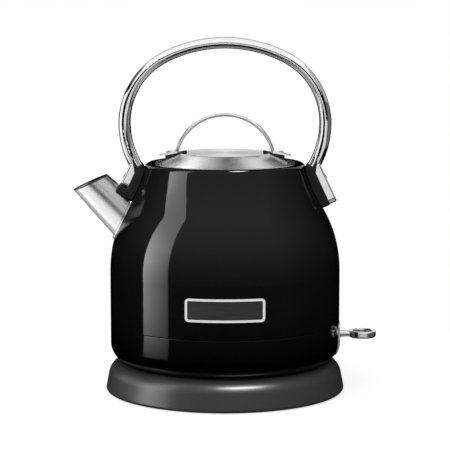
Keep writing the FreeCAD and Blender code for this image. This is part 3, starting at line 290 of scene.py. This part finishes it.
FINISHES = {
    "body_shell": enamel,
    "lid_seat": plain_steel,
    "lower_casing": casing_gloss,
    "base_cover": base_plastic,
    "base_plate": base_plastic,
    "loop_handle": chrome,
    "switch_lever": lever_steel,
    "lid_handle": chrome,
    "badge_frame": chrome,
    "lid_rivets": chrome,
    "handle_screws": chrome,
    "spout": spout_steel,
    "lid_cover": lid_steel,
    "filter_mesh": plain_steel,
    "badge_plate": badge_grey,
    "base_feet": rubber,
    "cord_gland": rubber,
    "floor_seal": silicone,
    "lid_seal": silicone,
    "steam_tube": plain_steel,
    "tube_grommet": silicone,
    "socket_contacts": brass,
    "connector_pins": brass,
    "contact_bridge": brass,
    "fixed_contacts": brass,
    "element_leads": brass,
    "heat_spreader": aluminium,
    "contact_plunger": pale_plastic,
    "heater_plate": plain_steel,
    "heater_studs": plain_steel,
    "heating_element": plain_steel,
    "bimetal_discs": brass,
    "steam_bimetal": brass,
    "lever_pin": plain_steel,
    "base_screws": plain_steel,
    "casing_screws": plain_steel,
    "handle_bosses": plain_steel,
    "switch_bezel": plain_steel,
}
for name, node in nodes.items():
    node.data.materials.clear()
    node.data.materials.append(FINISHES.get(name, black_plastic))

scene = bpy.context.scene


def link_mesh(name, mesh, material):
    """Makes an object of a mesh in progress."""
    data = bpy.data.meshes.new(name)
    mesh.to_mesh(data)
    mesh.free()
    thing = bpy.data.objects.new(name, data)
    thing.data.materials.append(material)
    scene.collection.objects.link(thing)
    return thing


# Modelled details

def skin(mesh, rings):
    """Adds a closed skin over a row of rings of points, capped at both ends."""
    rows = [[mesh.verts.new(point) for point in ring] for ring in rings]
    for lower, upper in zip(rows, rows[1:]):
        for index in range(len(lower)):
            after = (index + 1) % len(lower)
            mesh.faces.new((lower[index], lower[after], upper[after], upper[index]))
    mesh.faces.new(reversed(rows[0]))
    mesh.faces.new(rows[-1])


def add_screw(mesh, place, facing):
    """Adds a screw with a crowned head and a six-sided socket; place is the middle of the head's edge."""
    side = facing.orthogonal().normalized()
    other = facing.cross(side)

    def ring(reach, along, six_sided=False):
        """Points round the screw's axis, on a circle or on a hexagon."""
        points = []
        for step in range(SCREW_STEPS):
            turn = 2 * math.pi * step / SCREW_STEPS
            bent = math.fmod(turn, math.pi / 3) - math.pi / 6
            out = reach / math.cos(bent) if six_sided else reach
            way = side * math.cos(turn) + other * math.sin(turn)
            points.append(place + way * out + facing * along)
        return points

    shank_end = SCREW_HEAD_H - SCREW_LENGTH
    rings = [
        ring(SCREW_SHANK_R - SCREW_TIP, shank_end - SCREW_TIP),
        ring(SCREW_SHANK_R, shank_end),
        ring(SCREW_SHANK_R, -SCREW_HEAD_H),
        ring(SCREW_HEAD_R, -SCREW_HEAD_H),
        ring(SCREW_HEAD_R, -SCREW_EDGE),
        ring(SCREW_HEAD_R - SCREW_EDGE, 0.0),
    ]
    for share in CROWN_SHARES:
        rings.append(ring(SCREW_HEAD_R * share, SCREW_DOME * (1.0 - share ** 2)))
    for out, along in SOCKET_OUTLINE:
        rings.append(ring(out, along, six_sided=True))
    skin(mesh, rings)


def make_handle_screws():
    """Both screws of the loop handle, one on each tab."""
    mesh = bmesh.new()
    lean = math.radians(TAB_LEAN_DEG)
    for way in (-1.0, 1.0):
        place = Vector((way * SCREW_PLACE.x, SCREW_PLACE.y, SCREW_PLACE.z))
        facing = Vector((way * math.cos(lean), 0.0, math.sin(lean)))
        add_screw(mesh, place, facing)
    return link_mesh("socket_screws", mesh, chrome)


def make_weave():
    """Two sets of wires that pass over and under each other, across the filter's opening."""
    mesh = bmesh.new()
    across = Vector((0.0, 1.0, 0.0))
    along = SPOUT_AXIS.cross(across)
    count = int(WEAVE_R / WEAVE_PITCH)
    turns = [2 * math.pi * side / WIRE_SIDES for side in range(WIRE_SIDES)]
    for first, second, swing in ((along, across, 1.0), (across, along, -1.0)):
        for row in range(-count, count + 1):
            shift = row * WEAVE_PITCH
            half = math.sqrt(WEAVE_R ** 2 - shift ** 2)
            steps = max(2, round(2 * half / WEAVE_PITCH * WIRE_STEPS))
            rings = []
            for step in range(steps + 1):
                reach = -half + 2 * half * step / steps
                wave = swing * (-1.0) ** row * math.cos(math.pi * reach / WEAVE_PITCH)
                middle = WEAVE_PLACE + first * reach + second * shift + SPOUT_AXIS * (WIRE_R * wave)
                ways = [second * math.cos(turn) + SPOUT_AXIS * math.sin(turn) for turn in turns]
                rings.append([middle + way * WIRE_R for way in ways])
            skin(mesh, rings)
    return link_mesh("woven_filter", mesh, plain_steel)


socket_screws = make_handle_screws()
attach(socket_screws, "kettle")
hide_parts("handle_screws")
woven_filter = make_weave()
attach(woven_filter, "filter")
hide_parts("filter_mesh")
for piece, crease_deg in ((socket_screws, SCREW_CREASE_DEG), (woven_filter, WIRE_CREASE_DEG)):
    piece.data.shade_smooth()
    piece.data.set_sharp_from_angle(angle=math.radians(crease_deg))

for name, radius in EDGES.items():
    weld = nodes[name].modifiers.new("join", "WELD")
    weld.merge_threshold = WELD_REACH
    edge = nodes[name].modifiers.new("round edges", "BEVEL")
    edge.width = radius
    edge.segments = EDGE_STEPS
    edge.limit_method = "ANGLE"
    edge.angle_limit = math.radians(EDGE_ANGLE_DEG)
    edge.use_clamp_overlap = False
    even_out = nodes[name].modifiers.new("smooth shading", "WEIGHTED_NORMAL")
    even_out.weight = EDGE_EVENNESS

# Studio: white world, floor, dark wall, tall window and lamps

scene.view_settings.view_transform = "Standard"

world = bpy.data.worlds.new("studio")
world.use_nodes = True
scene.world = world
sky = world.node_tree
sky.nodes.clear()
rays = add(sky, "ShaderNodeLightPath")
seen = maths(sky, "MAXIMUM", rays.outputs["Is Camera Ray"], rays.outputs["Is Glossy Ray"])
shown = maths(sky, "MAXIMUM", seen, rays.outputs["Is Transmission Ray"])
level = spread(sky, shown, wanted=(FILL_LEVEL, 1.0))
white = add(sky, "ShaderNodeBackground", {"Color": WHITE, "Strength": level})
add(sky, "ShaderNodeOutputWorld", {"Surface": white.outputs["Background"]})

floor_paint = bpy.data.materials.new("pale floor")
floor_paint.use_nodes = True
floor_tree = floor_paint.node_tree
floor_shader = floor_tree.nodes["Principled BSDF"]
floor_shader.inputs["Base Color"].default_value = (FLOOR_GREY, FLOOR_GREY, FLOOR_GREY, 1.0)
floor_shader.inputs["Roughness"].default_value = FLOOR_ROUGHNESS
floor_shader.inputs["Specular IOR Level"].default_value = 0.0
floor_shader.inputs["Emission Color"].default_value = WHITE
to_camera = add(floor_tree, "ShaderNodeLightPath").outputs["Is Camera Ray"]
floor_glow = spread(floor_tree, to_camera, wanted=(0.0, FLOOR_GLOW))
floor_tree.links.new(floor_glow, floor_shader.inputs["Emission Strength"])
disc = bmesh.new()
bmesh.ops.create_circle(disc, cap_ends=True, segments=FLOOR_STEPS, radius=FLOOR_R)
floor = link_mesh("floor", disc, floor_paint)
floor.visible_glossy = False
floor.visible_shadow = False


def way_to(turn_deg, rise_deg):
    """A direction in the studio: turn from the camera's side, to the right, and rise above the floor."""
    turn = math.radians(turn_deg)
    rise = math.radians(rise_deg)
    flat = math.cos(rise)
    return Vector((math.sin(turn) * flat, -math.cos(turn) * flat, math.sin(rise)))


def ramp(tree, value, low, high, *stops):
    """A grey level that follows a value through stops of place and level."""
    node = add(tree, "ShaderNodeValToRGB", {"Fac": spread(tree, value, (low, high))})
    while len(node.color_ramp.elements) < len(stops):
        node.color_ramp.elements.new(0.5)
    for element, (place, level) in zip(node.color_ramp.elements, stops):
        element.position = (place - low) / (high - low)
        element.color = (level, level, level, 1.0)
    return node.outputs["Color"]


def glow_material(name):
    """A material that only gives light, with its tree, the places on it and its light node."""
    material = bpy.data.materials.new(name)
    material.use_nodes = True
    tree = material.node_tree
    tree.nodes.clear()
    light = add(tree, "ShaderNodeEmission")
    add(tree, "ShaderNodeOutputMaterial", {"Surface": light.outputs["Emission"]})
    return material, tree, plain_way(tree), light


def only_mirrored(thing):
    """Shows a part of the studio in reflections alone."""
    thing.visible_camera = False
    thing.visible_diffuse = False
    thing.visible_shadow = False
    thing.visible_transmission = False


wall_paint, wall_tree, wall_place, wall_light = glow_material("studio wall")
way_out = add(wall_tree, "ShaderNodeVectorMath", {0: wall_place}, operation="NORMALIZE")
way_parts = add(wall_tree, "ShaderNodeSeparateXYZ", {"Vector": way_out.outputs["Vector"]})
flat_sides = {"X": way_parts.outputs["X"], "Y": way_parts.outputs["Y"]}
flat_place = add(wall_tree, "ShaderNodeCombineXYZ", flat_sides)
flat_way = add(wall_tree, "ShaderNodeVectorMath", {0: flat_place.outputs["Vector"]}, operation="NORMALIZE")
flat_parts = add(wall_tree, "ShaderNodeSeparateXYZ", {"Vector": flat_way.outputs["Vector"]})
rise_share = ramp(
    wall_tree, way_parts.outputs["Z"], -0.25, 0.85,
    (-0.20, 0.0), (-0.145, 0.08), (0.0, 0.14), (0.17, 0.21),
    (0.34, 0.30), (0.50, 0.38), (0.77, 0.45),
)
turn_share = ramp(
    wall_tree, flat_parts.outputs["Y"], -1.0, 1.0,
    (-0.5, 1.0), (-0.26, 0.8), (0.0, 0.6), (0.26, 0.42),
    (0.5, 0.27), (0.71, 0.12), (0.87, 0.04), (1.0, 0.0),
)
wall_strength = maths(wall_tree, "MULTIPLY", rise_share, turn_share)
wall_tree.links.new(wall_strength, wall_light.inputs["Strength"])
room = bmesh.new()
bmesh.ops.create_icosphere(room, subdivisions=WALL_SPLITS, radius=WALL_R)
wall = link_mesh("wall", room, wall_paint)
only_mirrored(wall)


def group(name, *members):
    """A collection of the nodes and pieces that a lamp may light."""
    collection = bpy.data.collections.new(name)
    for member in members:
        collection.objects.link(bpy.data.objects[member])
    return collection


CHROME = (
    "loop_handle",
    "switch_lever",
    "lid_handle",
    "badge_frame",
    "lid_rivets",
    "socket_screws",
    "switch_bezel",
)
SPOUT = ("spout", "woven_filter")
LID = ("lid_cover", "lid_seat")
chromes = group("chromes", *CHROME)
spouts = group("spouts", *SPOUT)
lids = group("lids", *LID)
bases = group("bases", "base_cover")
shells = group("shells", "body_shell")
blacks = group("blacks", *[name for name in nodes if name not in CHROME + SPOUT + LID])
wall.light_linking.receiver_collection = blacks

# The tall window is brightest at its left edge and fades downwards
strip_paint, strip_tree, strip_place, strip_light = glow_material("tall window")
strip_parts = add(strip_tree, "ShaderNodeSeparateXYZ", {"Vector": strip_place})
strip_half = STRIP_DISTANCE * math.tan(math.radians(STRIP_HALF_DEG))
left_share = spread(strip_tree, strip_parts.outputs["X"], (-strip_half, strip_half), (1.0, 0.0))
height = strip_parts.outputs["Z"]
even = ramp(
    strip_tree, height, STRIP_START, STRIP_HIGH,
    (-0.25, 0.05), (-0.18, 0.11), (0.3, 0.2), (0.6, 0.29), (1.0, 0.27), (2.2, 0.26),
)
extra = ramp(
    strip_tree, height, STRIP_START, STRIP_HIGH,
    (-0.25, 0.06), (-0.18, 0.27), (0.3, 0.49), (0.6, 0.32), (1.0, 0.09), (1.5, 0.0),
)
slope = maths(strip_tree, "MULTIPLY", extra, left_share)
strip_shade = maths(strip_tree, "ADD", even, slope)
strip_strength = maths(strip_tree, "MULTIPLY", strip_shade, STRIP_LEVEL)
strip_tree.links.new(strip_strength, strip_light.inputs["Strength"])
sheet = bmesh.new()
corners = [
    (-strip_half, STRIP_LOW),
    (strip_half, STRIP_LOW),
    (strip_half, STRIP_HIGH),
    (-strip_half, STRIP_HIGH),
]
sheet.faces.new([sheet.verts.new((x, 0.0, z)) for x, z in corners])
window = link_mesh("tall_window", sheet, strip_paint)
window.location = way_to(STRIP_TURN_DEG, 0.0) * STRIP_DISTANCE
window.rotation_euler = (0.0, 0.0, math.radians(STRIP_TURN_DEG))
window.light_linking.receiver_collection = blacks
only_mirrored(window)


def lamp(name, turn_deg, rise_deg, half_turn_deg, half_rise_deg, level, receivers=None, key=False):
    """A soft box that faces the kettle from a direction and covers the given angles to both sides.

    Only the key lamp lights rough colours; the others show in reflections on their receivers.
    """
    light = bpy.data.lights.new(name, "AREA")
    light.shape = "RECTANGLE"
    light.size = 2 * LAMP_DISTANCE * math.tan(math.radians(half_turn_deg))
    light.size_y = 2 * LAMP_DISTANCE * math.tan(math.radians(half_rise_deg))
    light.normalize = False
    light.energy = level * math.pi
    thing = bpy.data.objects.new(name, light)
    thing.location = way_to(turn_deg, rise_deg) * LAMP_DISTANCE + LAMP_TARGET
    thing.rotation_euler = (LAMP_TARGET - thing.location).to_track_quat("-Z", "Y").to_euler()
    thing.visible_camera = False
    thing.visible_glossy = not key
    thing.visible_diffuse = key
    if receivers is not None:
        thing.light_linking.receiver_collection = receivers
    scene.collection.objects.link(thing)


lamp("base spark", 22, 52, 14, 6, 60.0, receivers=bases)
lamp("base side", -90, 12, 35, 15, 1.0, receivers=bases)
lamp("rim spark", 75, 80, 9, 5, 25.0, receivers=shells)
lamp("chrome left", -75, -1, 26, 23, 1.25, receivers=chromes)
lamp("chrome middle", 11, -3.4, 21, 4.4, 0.9, receivers=chromes)
lamp("chrome right", 80, 0, 40, 15, 0.16, receivers=chromes)
lamp("chrome top right", 80, 35, 30, 20, 0.5, receivers=chromes)
lamp("chrome top", 0, 75, 45, 30, 1.15, receivers=chromes)
lamp("chrome over", 180, 56, 45, 16, 0.6, receivers=chromes)
lamp("chrome front", -5, 31, 42, 15, 1.2, receivers=chromes)
lamp("chrome behind", 180, 21, 45, 17, 1.1, receivers=chromes)
lamp("chrome low", 0, -13.6, 42, 4.5, 0.9, receivers=chromes)
lamp("chrome floor left", -45, -33, 22, 10, 0.45, receivers=chromes)
lamp("chrome floor right", 45, -33, 22, 10, 0.45, receivers=chromes)
lamp("chrome below", 0, -75, 30, 14, 0.7, receivers=chromes)
lamp("chrome back left", -142, -8, 35, 12, 0.18, receivers=chromes)
lamp("chrome top left", -80, 42, 30, 12, 0.12, receivers=chromes)
lamp("spout low", -45, -30, 50, 25, 1.36, receivers=spouts)
lamp("spout back left", -112, -30, 32, 28, 0.6, receivers=spouts)
lamp("spout below", -90, -80, 35, 18, 0.9, receivers=spouts)
lamp("spout middle", 22, 12, 18, 16, 1.25, receivers=spouts)
lamp("spout top", 80, 38, 45, 28, 0.85, receivers=spouts)
lamp("spout left high", -90, 45, 40, 25, 0.9, receivers=spouts)
lamp("spout back", -150, 50, 35, 22, 0.7, receivers=spouts)
lamp("lid back", 180, 9, 6, 8, 1.0, receivers=lids)
lamp("lid bright", -159, 49, 4, 9, 4.4, receivers=lids)
lamp("lid left", -170, 54, 4, 10, 0.5, receivers=lids)
lamp("lid right", 158, 50, 8, 12, 1.3, receivers=lids)
lamp("lid front", 0, 52, 55, 34, 0.4, receivers=lids)
lamp("lid side left", -90, 30, 40, 30, 0.7, receivers=lids)
lamp("lid side right", 90, 30, 40, 30, 0.7, receivers=lids)
lamp("key", -35, 55, 22, 22, 1.2, key=True)

camera_data = bpy.data.cameras.new("camera")
camera_data.lens = CAMERA_LENS
camera_data.sensor_width = SENSOR_WIDTH
camera = bpy.data.objects.new("camera", camera_data)
camera.location = CAMERA_PLACE
camera.rotation_euler = (math.radians(CAMERA_TILT_DEG), 0.0, 0.0)
scene.collection.objects.link(camera)
scene.camera = camera
